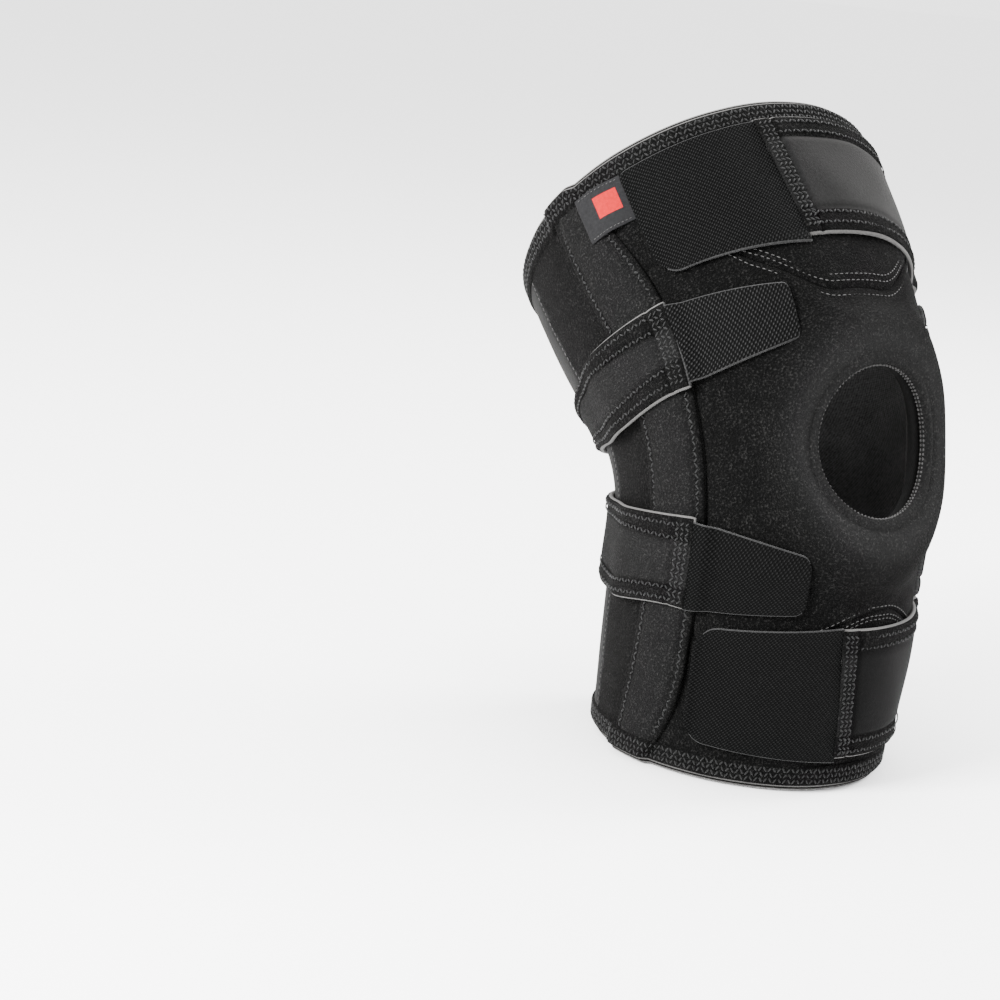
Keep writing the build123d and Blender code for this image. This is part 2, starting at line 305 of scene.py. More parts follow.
def math2(nodes, links, operation, a, b=None, c=None):
    node = nodes.new("ShaderNodeMath")
    node.operation = operation
    for socket, value in zip(node.inputs, (a, b, c)):
        if value is None:
            continue
        if isinstance(value, (int, float)):
            socket.default_value = value
        else:
            links.new(value, socket)
    return node.outputs[0]


def bump(nodes, links, shader, height, strength, distance):
    node = nodes.new("ShaderNodeBump")
    node.inputs["Strength"].default_value = strength
    node.inputs["Distance"].default_value = distance
    links.new(height, node.inputs["Height"])
    links.new(node.outputs["Normal"], shader.inputs["Normal"])


def plushCloth(name, dark, light, sheen):
    # brushed loop face: matted pile with pale flecks
    material, nodes, links, shader = principled(name)
    where = nodes.new("ShaderNodeTexCoord").outputs["Object"]
    fleck = noise(nodes, links, where, 1200, 3.0, 0.62)
    patch = noise(nodes, links, where, 120, 2.0, 0.5)
    mixed = math2(nodes, links, "MULTIPLY_ADD", patch, 0.12, math2(nodes, links, "MULTIPLY", fleck, 0.9))
    tone = ramp(nodes, links, mixed, [(0.36, dark), (0.55, [c * 2.4 for c in dark]), (0.80, light)])
    # painted highlight: the tone is made paler wherever the point attribute read here is set
    paintedHighlight = nodes.new("ShaderNodeAttribute")
    paintedHighlight.attribute_name = "paintedHighlight"
    paler = nodes.new("ShaderNodeVectorMath")
    paler.operation = "MULTIPLY_ADD"
    links.new(tone, paler.inputs[0])
    grow = nodes.new("ShaderNodeCombineXYZ")
    base = nodes.new("ShaderNodeCombineXYZ")
    for axis in "XYZ":
        links.new(math2(nodes, links, "MULTIPLY_ADD", paintedHighlight.outputs["Fac"], 0.7, 1.0), grow.inputs[axis])
        links.new(math2(nodes, links, "MULTIPLY", paintedHighlight.outputs["Fac"], 0.0055), base.inputs[axis])
    links.new(grow.outputs["Vector"], paler.inputs[1])
    links.new(base.outputs["Vector"], paler.inputs[2])
    links.new(paler.outputs["Vector"], shader.inputs["Base Color"])
    shader.inputs["Roughness"].default_value = 0.95
    shader.inputs["Specular IOR Level"].default_value = 0.02
    shader.inputs["Sheen Weight"].default_value = sheen
    shader.inputs["Sheen Roughness"].default_value = 0.45
    shader.inputs["Sheen Tint"].default_value = (0.62, 0.60, 0.58, 1)
    bump(nodes, links, shader, mixed, 1.0, 0.0018)
    return material


def knitCloth(name, dark, light, pitch, sheen):
    # fine ribs that follow the cloth
    material, nodes, links, shader = principled(name)
    coords = nodes.new("ShaderNodeUVMap")
    coords.uv_map = "cloth"
    split = nodes.new("ShaderNodeSeparateXYZ")
    links.new(coords.outputs["UV"], split.inputs[0])
    wale = math2(nodes, links, "MULTIPLY", split.outputs["X"], 2 * math.pi / pitch)
    ribs = math2(nodes, links, "SINE", wale)
    course = math2(nodes, links, "MULTIPLY", split.outputs["Y"], 2 * math.pi / (pitch * 0.8))
    loops = math2(nodes, links, "SINE", course)
    knit = math2(nodes, links, "MULTIPLY_ADD", math2(nodes, links, "MULTIPLY", ribs, loops), 0.25, 0.5)
    where = nodes.new("ShaderNodeTexCoord").outputs["Object"]
    grain = noise(nodes, links, where, 900, 2.0, 0.6)
    cloud = noise(nodes, links, where, 60, 2.0, 0.5)
    mixed = math2(nodes, links, "MULTIPLY_ADD", knit, 0.35, math2(nodes, links, "MULTIPLY", grain, 0.45))
    mixed = math2(nodes, links, "MULTIPLY_ADD", cloud, 0.25, mixed)
    links.new(ramp(nodes, links, mixed, [(0.35, dark), (0.72, light)]), shader.inputs["Base Color"])
    shader.inputs["Roughness"].default_value = 0.82
    shader.inputs["Specular IOR Level"].default_value = 0.04
    shader.inputs["Sheen Weight"].default_value = sheen
    shader.inputs["Sheen Roughness"].default_value = 0.5
    shader.inputs["Sheen Tint"].default_value = (0.62, 0.60, 0.58, 1)
    bump(nodes, links, shader, mixed, 0.55, 0.0006)
    return material


def meshCloth(name, dark, light, pitch):
    # woven net: rows of small raised dots on a dark ground, in slanting lines
    material, nodes, links, shader = principled(name)
    coords = nodes.new("ShaderNodeUVMap")
    coords.uv_map = "cloth"
    split = nodes.new("ShaderNodeSeparateXYZ")
    links.new(coords.outputs["UV"], split.inputs[0])
    x, y = split.outputs["X"], split.outputs["Y"]
    turned = math2(nodes, links, "ADD", x, y)
    across = math2(nodes, links, "SUBTRACT", x, y)
    wave1 = math2(nodes, links, "SINE", math2(nodes, links, "MULTIPLY", turned, 2 * math.pi / pitch))
    wave2 = math2(nodes, links, "SINE", math2(nodes, links, "MULTIPLY", across, 2 * math.pi / (pitch * 1.35)))
    waves = math2(nodes, links, "ADD", wave1, math2(nodes, links, "MULTIPLY", wave2, 0.7))
    dots = math2(nodes, links, "MULTIPLY_ADD", waves, 0.28, 0.5)
    where = nodes.new("ShaderNodeTexCoord").outputs["Object"]
    grain = noise(nodes, links, where, 1100, 2.0, 0.6)
    mixed = math2(nodes, links, "MULTIPLY_ADD", grain, 0.4, math2(nodes, links, "MULTIPLY", dots, 0.72))
    links.new(ramp(nodes, links, mixed, [(0.46, dark), (0.66, [c * 4 for c in dark]), (0.9, light)]),
              shader.inputs["Base Color"])
    shader.inputs["Roughness"].default_value = 0.7
    shader.inputs["Specular IOR Level"].default_value = 0.03
    shader.inputs["Sheen Weight"].default_value = 0.0
    shader.inputs["Sheen Roughness"].default_value = 0.4
    bump(nodes, links, shader, mixed, 0.9, 0.0010)
    return material


def foamCut(name, color):
    material, nodes, links, shader = principled(name)
    where = nodes.new("ShaderNodeTexCoord").outputs["Object"]
    cells = noise(nodes, links, where, 1500, 2.0, 0.7)
    tone = ramp(nodes, links, cells, [(0.3, [c * 0.55 for c in color]), (0.7, color)])
    links.new(tone, shader.inputs["Base Color"])
    shader.inputs["Roughness"].default_value = 0.9
    bump(nodes, links, shader, cells, 0.4, 0.0003)
    return material


def thread(name, dark, light):
    material, nodes, links, shader = principled(name)
    where = nodes.new("ShaderNodeTexCoord").outputs["Object"]
    strands = noise(nodes, links, where, 1600, 2.0, 0.5)
    links.new(ramp(nodes, links, strands, [(0.3, dark), (0.7, light)]), shader.inputs["Base Color"])
    shader.inputs["Roughness"].default_value = 0.7
    shader.inputs["Specular IOR Level"].default_value = 0.12
    shader.inputs["Sheen Weight"].default_value = 0.05
    bump(nodes, links, shader, strands, 0.4, 0.0002)
    return material


def metal(name, color, rough):
    material, nodes, links, shader = principled(name)
    where = nodes.new("ShaderNodeTexCoord").outputs["Object"]
    scratch = noise(nodes, links, where, 700, 3.0, 0.6)
    tone = ramp(nodes, links, scratch, [(0.3, [c * 0.8 for c in color]), (0.7, color)])
    links.new(tone, shader.inputs["Base Color"])
    shader.inputs["Metallic"].default_value = 1.0
    shader.inputs["Roughness"].default_value = rough
    bump(nodes, links, shader, scratch, 0.2, 0.0001)
    return material


def moulded(name, color, rough):
    material, nodes, links, shader = principled(name)
    where = nodes.new("ShaderNodeTexCoord").outputs["Object"]
    grain = noise(nodes, links, where, 1800, 2.0, 0.5)
    tone = ramp(nodes, links, grain, [(0.3, [c * 0.8 for c in color]), (0.7, color)])
    links.new(tone, shader.inputs["Base Color"])
    shader.inputs["Roughness"].default_value = rough
    bump(nodes, links, shader, grain, 0.25, 0.0002)
    return material


plush = plushCloth("plushNeoprene", (0.0008, 0.0008, 0.0008), (0.016, 0.0156, 0.0152), 0.01)
smoothFace = knitCloth("smoothNeoprene", (0.0018, 0.0018, 0.0018), (0.0062, 0.0062, 0.0062), 0.9, 0.05)
stretch = knitCloth("stretchKnit", (0.0010, 0.0010, 0.0010), (0.0042, 0.0042, 0.0042), 1.2, 0.02)
# painted shade: a darker copy of the stretch knit, for the inset of the bottom strap band
shadedFace = knitCloth("darkKnit", (0.0004, 0.0004, 0.0004), (0.0018, 0.0018, 0.0018), 1.2, 0.005)
lining = knitCloth("liningKnit", (0.0065, 0.0065, 0.0065), (0.038, 0.038, 0.038), 1.6, 0.05)
# the strap net in three brightnesses: the plain net, a paler copy as a painted highlight for the upper mid
# strap, and a darker copy as painted shade for the bottom and lower mid straps
net = meshCloth("strapNet", (0.0003, 0.0003, 0.0003), (0.0095, 0.0095, 0.0095), 1.35)
litNet = meshCloth("litStrapNet", (0.0005, 0.0005, 0.0005), (0.0150, 0.0150, 0.0150), 1.35)
shadedNet = meshCloth("darkStrapNet", (0.0003, 0.0003, 0.0003), (0.0060, 0.0060, 0.0060), 1.35)
netRim = thread("netRim", (0.003, 0.003, 0.003), (0.016, 0.016, 0.016))
foam = foamCut("neopreneFoam", (0.055, 0.053, 0.051))
blackThread = thread("blackThread", (0.0012, 0.0012, 0.0012), (0.0055, 0.0055, 0.0055))
greyThread = thread("greyThread", (0.010, 0.010, 0.010), (0.045, 0.044, 0.043))
steel = metal("stayWire", (0.62, 0.62, 0.64), 0.32)
capPlastic = moulded("capPlastic", (0.02, 0.02, 0.022), 0.5)
hookFace = moulded("hookTape", (0.008, 0.008, 0.008), 0.6)
print("materials made")
clothPair = [plush, foam, lining]


def bendWithKnee(piece, low, high):
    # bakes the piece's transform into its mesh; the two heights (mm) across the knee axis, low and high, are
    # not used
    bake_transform(piece)


zones = {"front": (-70, 44), "side": (-45, 45), "rear": (-17, 17)}


def dip(distance, depth=0.8, width=1.2):
    return -depth * np.exp(-(distance / width)**2)


# ---- sleeve
sleeve = {
    "thickness": 3.5, "end": 2.5, "backTop": -0.3, "backThickness": 2.2, "backSeam": 65.0, "ripple": 0.5,
}


def frontPanel(name, low, high, seed, seam):
    turn, run, p, q = grid((lambda r: -channelFront(r), channelFront), (low, high))
    lift = ripple(turn, run, sleeve["ripple"], seed) + dip(run - seam(turn)) * 0.9
    return slab(name, turn, run, lift, lift - sleeve["thickness"], clothPair, plainEdge)


sleeveStart, sleeveEnd = constant(sleeve["end"]), constant(rimRun - sleeve["end"])
thighFront = frontPanel("thighFrontPanel", upperGusset, sleeveEnd, 3, upperGusset)
calfFront = frontPanel("calfFrontPanel", sleeveStart, lowerGusset, 4, lowerGusset)
for piece, word in ((thighFront, "thigh"), (calfFront, "calf")):
    node, body = word + "_front_panel", word + "_cuff"
    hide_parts(node)
    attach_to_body(piece, body)

hole = {"turn": -3.0, "run": 120.5, "radius": 30.0, "swell": 6.2, "swellAt": 9.5, "swellWidth": 8.0}
holeLean = (hole["run"] - bendStart) / bendRadius
holeAxis = np.array([0, -math.cos(holeLean), math.sin(holeLean)])
holeCentre = onLeg(hole["turn"], hole["run"], 0)
turnPerMm = math.degrees(2 / float(halfWidth(hole["run"]) + halfDepth(hole["run"])))


def fromHole(theta, reach):
    return hole["turn"] + np.cos(theta) * reach * turnPerMm, hole["run"] + np.sin(theta) * reach


def bisect(inside, low, high):
    # largest reach for which inside holds, for every angle at once
    for _ in range(40):
        middle = (low + high) / 2
        good = inside(middle)
        low, high = np.where(good, middle, low), np.where(good, high, middle)
    return low


def holeReach(theta, radius):
    # reach along the cloth at which the hole's cylinder is met
    def inside(reach):
        offset = onLeg(*fromHole(theta, reach), 0) - holeCentre
        offset = offset - (offset @ holeAxis)[..., None] * holeAxis
        return np.linalg.norm(offset, axis=-1) < radius * mm
    return bisect(inside, np.zeros_like(theta), np.full_like(theta, 80.0))


def panelReach(theta):
    def inside(reach):
        turn, run = fromHole(theta, reach)
        return (run < upperGusset(turn)) & (run > lowerGusset(turn)) & (np.abs(turn) < channelFront(run))
    return bisect(inside, np.full_like(theta, 25.0), np.full_like(theta, 140.0))


def swell(reach):
    # rise of the cloth over the ring pad, by the distance from the hole's edge
    return hole["swell"] * np.exp(-((reach - hole["swellAt"]) / hole["swellWidth"])**2)


theta = np.linspace(0, 2 * math.pi, 288, endpoint=False)[::-1]
inner, outer = holeReach(theta, hole["radius"] + 2.4), panelReach(theta)
steps = np.linspace(0, 1, 48)[:, None]**1.25
reach = inner + (outer - inner) * steps
turn, run = fromHole(theta[None, :] + 0 * reach, reach)
lift = swell(reach - inner) * smooth((outer - reach) / 10) - 0.8 * smooth(1 - (reach - inner) / 3)
lift = lift + ripple(turn, run, 0.45, 8) * smooth((reach - inner) / 10) + dip(outer - reach)
# painted highlight: a paler ring painted on the plush just outside the hole
kneeFront = slab("kneeFrontPanel", turn, run, lift, lift - sleeve["thickness"], clothPair, loop=True,
                 paintedHighlight=np.exp(-((reach - inner - 3) / 7)**2))
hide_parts("knee_front_panel")
bendWithKnee(kneeFront, *zones["front"])


def hoop(name, section, material):
    # closed ring round the hole; section lists (distance from the hole's edge, lift) clockwise
    count = 240
    around = np.linspace(0, 2 * math.pi, count, endpoint=False)
    start = holeReach(around, hole["radius"])
    points, uv = [], []
    length = 0
    for k, (out, lift) in enumerate(section):
        t, r = fromHole(around, start + out)
        points.append(onLeg(t, r, lift))
        uv.append(np.stack([around * 31, np.full(count, length)], -1))
        length += math.dist(section[k], section[(k + 1) % len(section)])
    faces = []
    size = len(section)
    for k in range(size):
        for j in range(count):
            a, b = k * count + j, k * count + (j + 1) % count
            c, d = ((k + 1) % size) * count + (j + 1) % count, ((k + 1) % size) * count + j
            faces.append((a, b, c, d))
    return meshObject(name, np.concatenate(points), faces, [material], None, np.concatenate(uv))


def rounded(x0, x1, y0, y1, power=2.6, count=22):
    # closed superellipse section between two distances and two lifts
    angles = np.linspace(0, 2 * math.pi, count, endpoint=False)
    c, s = np.cos(angles), np.sin(angles)
    x = np.sign(c) * np.abs(c)**(2 / power)
    y = np.sign(s) * np.abs(s)**(2 / power)
    x = (x0 + x1) / 2 + (x1 - x0) / 2 * x
    y = (y0 + y1) / 2 + (y1 - y0) / 2 * y
    return list(zip(x.tolist(), y.tolist()))


binding = hoop("patellaRimBinding", rounded(0.0, 5.2, -3.4, 1.7), plush)
# painted highlight: the plush of the rim binding is painted paler all round
values = np.ones(len(binding.data.vertices), np.float32) * 0.7
binding.data.attributes.new("paintedHighlight", "FLOAT", "POINT").data.foreach_set("value", values)
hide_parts("patella_rim_binding")
bendWithKnee(binding, *zones["front"])
ring = hoop("patellaRing", rounded(1.0, 14.0, -8.8, -3.4), stretch)
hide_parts("patella_ring")
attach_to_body(ring, "kneecap_section")

backTurns = (lambda r: channelFront(r) + 0.2, lambda r: 359.8 - channelFront(r))
turn, run, p, q = grid(backTurns, (sleeveStart, sleeveEnd), 1.8)
lift = sleeve["backTop"] + ripple(turn, run, 0.25, 5) * 0.5
sides = np.abs((turn[:-1, :-1] + turn[1:, 1:]) / 2 - 180) > sleeve["backSeam"]
lift = lift + dip(arcLength(np.abs(turn - 180) - sleeve["backSeam"], run), 0.6, 0.8)
back = slab("backPanel", turn, run, lift, lift - sleeve["backThickness"], [stretch, foam, lining, plush],
            paint=np.where(sides, 3, 0))
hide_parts("thigh_back_panel", "knee_back_panel", "calf_back_panel")
bendWithKnee(back, *zones["rear"])

# tapes under the seams between the panels
tape = {"top": -2.6, "base": -4.1, "half": 4.0, "sideHalf": 5.5, "end": 11.0}


def seamTape(name, turns, runs, zone):
    turn, run, p, q = grid(turns, runs, 1.4)
    piece = slab(name, turn, run, tape["top"], tape["base"], [lining] * 3, plainEdge)
    bendWithKnee(piece, *zones[zone])


def seamSide(side, away):
    return lambda r: side * channelFront(r) + away


acrossFront = (lambda r: 4 - channelFront(r), lambda r: channelFront(r) - 4)
for name, seam in (("upperSeamTape", upperGusset), ("lowerSeamTape", lowerGusset)):
    runs = (lambda t: seam(t) - tape["half"], lambda t: seam(t) + tape["half"])
    seamTape(name, acrossFront, runs, "front")
for word, side in (("lateral", 1), ("medial", -1)):
    seamTape(word + "SeamTape", (seamSide(side, -tape["sideHalf"]), seamSide(side, tape["sideHalf"])),
             (constant(tape["end"]), constant(rimRun - tape["end"])), "side")
print("sleeve built")

# ---- bindings sewn over the rims, across panels and channels
rim = {"width": 8.0, "proud": 0.8, "under": 3.6, "overChannel": 3.3, "gap": 2.7}


def overRimParts(turn, run):
    # lift of what a rim binding lies on
    away = np.abs((turn + 180) % 360 - 180)
    hump = smooth((away - channelFront(run) + 1.5) / 3) * (1 - smooth((away - channelRear(run) - 0.5) / 4))
    return rim["overChannel"] * hump - 0.3 * smooth((away - 95) / 10)


def rimBinding(name, low, high, body, seed, freeRow):
    around = np.linspace(-180, 180, 420, endpoint=False)
    turn, run = np.meshgrid(around, np.linspace(low, high, 9))
    across = (run - low) / (high - low)
    lift = overRimParts(turn, run) + rim["proud"] - 0.5 * np.abs(2 * across - 1)**5
    lift = lift + ripple(turn, run, 0.12, seed)
    inside = np.minimum(lift - 1.4, -0.2)
    piece = slab(name, turn, run, lift, inside - rim["under"], clothPair, rimEdge, loop=True, freeRow=freeRow)
    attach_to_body(piece, body)


thighRim = rimRun - rim["gap"]
rimBinding("thighRimBinding", thighRim - rim["width"], thighRim + 0.6, "thigh_cuff", 61, 1)
rimBinding("calfRimBinding", rim["gap"], rim["gap"] + rim["width"], "calf_cuff", 62, 0)
print("rims bound")

# ---- stay channels and stays
# the last entry is a painted highlight: how much paler the channel's plush is painted
channel = {"base": 0.0, "height": 3.3, "end": 4.5, "paintedHighlight": 0.35}
stayPath = {"turn": 77.0, "low": 14.0, "high": 214.0, "half": 2.4, "pitch": 3.0, "wire": 0.54, "lift": 1.8,
            "bulge": 0.25}


def channelPiece(name, side, node):
    runs = (constant(channel["end"]), constant(rimRun - channel["end"]))
    turn, run, p, q = grid((lambda r: channelFront(r) + 0.3, channelRear), runs, 1.2)
    across2 = np.abs(2 * p - 1)
    lift = channel["base"] + channel["height"] * (1 - 0.28 * across2**6) + ripple(turn, run, 0.35, 11 + side)
    fromSeam = np.minimum(arcLength(turn - channelFront(run), run), arcLength(channelRear(run) - turn, run))
    lift = lift + dip(fromSeam - 2.6, 0.9, 1.1) * smooth((np.abs(turn - stayPath["turn"]) - 3.5) / 1.5)
    if side < 0:
        turn, run, lift = -turn[:, ::-1], run[:, ::-1], lift[:, ::-1]
    # painted highlight: the channel's plush is painted paler across its width, fading towards the seams
    piece = slab(name, turn, run, lift, -0.2, [plush, plush, plush], doubleEdge,
                 paintedHighlight=channel["paintedHighlight"] * (1 - across2**4))
    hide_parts(node)
    bendWithKnee(piece, *zones["side"])


def tube(name, path, radius, material, sides=6):
    path = np.asarray(path)
    ahead = np.gradient(path, axis=0)
    ahead /= np.linalg.norm(ahead, axis=1, keepdims=True)
    first = np.cross(ahead, [1.0, 0.13, 0.07])
    first /= np.linalg.norm(first, axis=1, keepdims=True)
    second = np.cross(ahead, first)
    angles = np.arange(sides) * 2 * math.pi / sides
    cosine, sine = np.cos(angles)[None, :, None], np.sin(angles)[None, :, None]
    points = (path[:, None] + radius * (cosine * first[:, None] + sine * second[:, None])).reshape(-1, 3)
    faces = []
    for i in range(len(path) - 1):
        for j in range(sides):
            k = (j + 1) % sides
            faces.append((i * sides + j, i * sides + k, (i + 1) * sides + k, (i + 1) * sides + j))
    faces.append(tuple(range(sides))[::-1])
    faces.append(tuple((len(path) - 1) * sides + j for j in range(sides)))
    return meshObject(name, points, faces, [material])


def stayPiece(name, side, node):
    turns = int((stayPath["high"] - stayPath["low"]) / stayPath["pitch"])
    s = np.linspace(0, 1, turns * 12)
    phase = 2 * math.pi * turns * s
    run = stayPath["low"] + (stayPath["high"] - stayPath["low"]) * s
    run = run + stayPath["pitch"] * 0.18 * np.sin(2 * phase)
    turn = stayPath["turn"] + np.degrees(stayPath["half"] * np.sin(phase) / halfWidth(run))
    path = onLeg(side * turn, run, stayPath["lift"] + stayPath["bulge"] * np.cos(phase))
    piece = tube(name, path, stayPath["wire"] * mm, steel)
    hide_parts(node)
    bendWithKnee(piece, *zones["side"])


for word, side in (("lateral", 1), ("medial", -1)):
    channelPiece(word + "StayChannel", side, word + "_stay_channel")
    stayPiece(word + "Stay", side, word + "_stay")
    for end, body, runs in (("Upper", "thigh_cuff", (206.5, 215.5)), ("Lower", "calf_cuff", (12.5, 21.5))):
        turn, run, p, q = grid((constant(73.6), constant(80.4)), (constant(runs[0]), constant(runs[1])), 0.6)
        if side < 0:
            turn, run = -turn[:, ::-1], run[:, ::-1]
        cap = slab(f"{word}Stay{end}Cap", turn, run, 2.45, 1.1, [capPlastic] * 3)
        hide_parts(f"{word}_stay_{end.lower()}_cap")
        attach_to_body(cap, body)
print("stays and channels built")

# ---- straps
strap = {"thick": 3.0, "groove": 1.1, "mesh": 1.4, "meshTop": 2.5, "hook": 1.0}


def strapPiece(name, turns, runs, inset, seed, seamEnd, anchorEnd, border, paleEnd=None):
    # strap with stitched borders round an inset panel; seamEnd and anchorEnd say which end is which
    turn, run, p, q = grid(turns, runs, 1.2)
    low, high = runs[0](turn), runs[1](turn)
    fromEdge = np.minimum(run - low, high - run)
    fromSeam = np.abs(arcLength(turn - seamEnd(run), run))
    fromAnchor = np.abs(arcLength(turn - anchorEnd(run), run))
    rise = strap["thick"] + ripple(turn, run, 0.3, seed)
    rise = rise + dip(fromEdge - border, strap["groove"], 0.9) * (fromSeam > 7)
    rise = rise + dip(fromSeam - 7.0, strap["groove"], 0.8) + dip(fromAnchor - 5.0, 0.6, 0.9)
    rise = rise - 0.5 * smooth(1 - fromEdge / 1.6)
    quadEdge = (fromEdge[:-1, :-1] + fromEdge[1:, 1:]) / 2
    quadSeam = (fromSeam[:-1, :-1] + fromSeam[1:, 1:]) / 2
    paint = np.where((quadEdge > border) & (quadSeam > 7.0), 3, 0)
    under = overChannels(turn)
    # painted highlight: the plush inside the stitched border is painted paler
    return slab(name, turn, run, under + rise, under - 0.1, [plush, foam, lining, inset], cutEdge,
                paint=paint, paleEnd=None if paleEnd is None else paleEnd % turn.shape[1],
                paintedHighlight=0.45 * smooth((fromEdge - border) / 2))


def meshPiece(name, turns, runs, corners, cloth=net):
    # thin mesh end; corners lists its free corners as (turn, run, radius)
    turn, run, p, q = grid(turns, runs, 1.0)
    middleTurn, middleRun = float(turn.mean()), float(run.mean())
    perMm = math.degrees(2 / float(halfWidth(middleRun) + halfDepth(middleRun)))
    for cornerTurn, cornerRun, radius in corners:
        signT, signR = math.copysign(1, middleTurn - cornerTurn), math.copysign(1, middleRun - cornerRun)
        a = (turn - cornerTurn) * signT / perMm
        b = (run - cornerRun) * signR
        # squeeze the square corner on to its circle
        x, y = np.maximum(radius - a, 0), np.maximum(radius - b, 0)
        far, longest = np.hypot(x, y), np.maximum(x, y)
        scale = np.where(far > 1e-9, longest / np.maximum(far, 1e-9), 1.0)
        near = (x > 0) & (y > 0)
        turn = np.where(near, cornerTurn + signT * perMm * (radius - x * scale), turn)
        run = np.where(near, cornerRun + signR * (radius - y * scale), run)
    under = overChannels(turn) + strap["meshTop"] - strap["mesh"]
    top = under + strap["mesh"] + ripple(turn, run, 0.2, 31)
    return slab(name, turn, run, top, under, [cloth, netRim, cloth], netEdge)


def tabPieces(strapName, mesh, hook, start, end):
    tab = strapName + "_tab"
    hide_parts(strapName + "_mesh")
    Vector(onLeg(*start))
    Vector(onLeg(*end))
    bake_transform(mesh)
    turns, runs = hook
    turn, run, p, q = grid([constant(t) for t in turns], [constant(r) for r in runs], 1.5)
    top = overChannels(turn) + strap["meshTop"] - strap["mesh"] - 0.02
    pad = slab(mesh.name.replace("Mesh", "HookPad"), turn, run, top, top - strap["hook"], [hookFace] * 3)
    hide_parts(strapName + "_hook_pad")
    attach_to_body(pad, tab)


topSeam, bottomSeam = line(171, 15, 219, 18), line(15, 4, 67, 10)
topRuns, bottomRuns = (constant(171.0), constant(219.5)), (constant(15.0), constant(67.0))
bandTurn = constant(-104.0)
bandBorder, midBorder = 8.5, 7.0
topBand = strapPiece("topStrapBand", (bandTurn, topSeam), topRuns, smoothFace, 41, topSeam, bandTurn,
                     bandBorder)
# painted shade: the bottom band's inset takes the darker knit copy
bottomBand = strapPiece("bottomStrapBand", (bandTurn, bottomSeam), bottomRuns, shadedFace, 42, bottomSeam,
                        bandTurn, bandBorder, -1)
for piece, word, body in ((topBand, "top", "thigh_cuff"), (bottomBand, "bottom", "calf_cuff")):
    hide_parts(word + "_strap_band")
    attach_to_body(piece, body)


def upperLow(turn):
    return 140 - 10 * smooth((np.minimum(turn, 360 - turn) - 64) / 47)


def lowerLow(turn):
    return 68.5 - 6.5 * smooth((turn - 70) / 41) * (1 - smooth((turn - 200) / 45))


midStraps = {
    "upper": {"seam": 64.0, "low": upperLow, "high": 165.0, "seed": 51, "paleEnd": None},
    "lower": {"seam": 67.0, "low": lowerLow, "high": 100.0, "seed": 52, "paleEnd": 0},
}
for word, settings in midStraps.items():
    seam, end = constant(settings["seam"]), constant(296.0)
    runs = (settings["low"], constant(settings["high"]))
    piece = strapPiece(word + "MidStrap", (seam, end), runs, plush, settings["seed"], seam, end, midBorder,
                       settings["paleEnd"])
    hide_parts(*(f"{word}_mid_strap_{part}" for part in ("side", "rear", "anchor")))
    bendWithKnee(piece, *zones["rear"])

topMesh = meshPiece("topStrapMesh", (topSeam, constant(60.5)), (line(19, 169, 60, 173), constant(219.0)),
                    [(60.5, 173, 8.0), (60.5, 219, 3.0)])
tabPieces("top_strap", topMesh, ((30, 57), (179, 215)), (17, 195, 3), (23, 195, 3))
# painted shade: the bottom strap's net is the darker copy
bottomMesh = meshPiece("bottomStrapMesh", (bottomSeam, constant(61.5)),
                       (line(8, 13, 58, 16), line(12, 67.5, 60, 62)),
                       [(61.5, 16.2, 8.0), (61.5, 61.8, 8.0)], shadedNet)
tabPieces("bottom_strap", bottomMesh, ((24, 58), (22, 57)), (8, 41, 3), (15, 41, 3))
# painted highlight: the upper mid strap's net is the paler copy
upperMesh = meshPiece("upperMidStrapMesh", (constant(27.0), constant(64.0)),
                      (line(27, 146.5, 64, 141), line(27, 159.5, 64, 164)),
                      [(27, 146.5, 2.0), (27, 159.5, 1.8)], litNet)
tabPieces("upper_mid_strap", upperMesh, ((31, 56), (148.5, 157.5)), (64, 153, 3),
          (58, 153, 3))
# painted shade: the lower mid strap's net is the darker copy
lowerMesh = meshPiece("lowerMidStrapMesh", (constant(26.0), constant(67.0)),
                      (line(26, 73, 67, 68), line(26, 92, 67, 99)),
                      [(26, 73, 4.0), (26, 92, 3.5)], shadedNet)
tabPieces("lower_mid_strap", lowerMesh, ((31, 58), (76, 89.5)), (67, 83, 3),
          (61, 83, 3))
print("straps built")

# ---- label
labelSpot = {"turns": (61.2, 76.0), "runs": (200.5, 219.5)}
labelCloth = knitCloth("labelWeave", (0.004, 0.004, 0.0042), (0.010, 0.010, 0.0105), 0.5, 0.02)
labelRed = knitCloth("labelRed", (0.16, 0.004, 0.005), (0.27, 0.008, 0.009), 0.5, 0.02)
turn, run, p, q = grid(*([constant(v) for v in labelSpot[key]] for key in ("turns", "runs")), 0.4)


def underLabel(turn):
    # lift of what the label lies on
    return 0.35 + 3.25 * smooth((turn - 60) / 11)


rise = underLabel(turn)
inset = np.maximum(np.abs(p[:-1, :-1] - 0.38) / 0.24, np.abs(q[:-1, :-1] - 0.56) / 0.24)
label = slab("sideLabel", turn, run, rise + 0.6 + ripple(turn, run, 0.08, 7), rise + 0.1,
             [labelCloth, labelCloth, labelCloth, labelRed], plainEdge, paint=np.where(inset < 1, 3, 0))
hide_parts("side_label")
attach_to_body(label, "thigh_cuff")

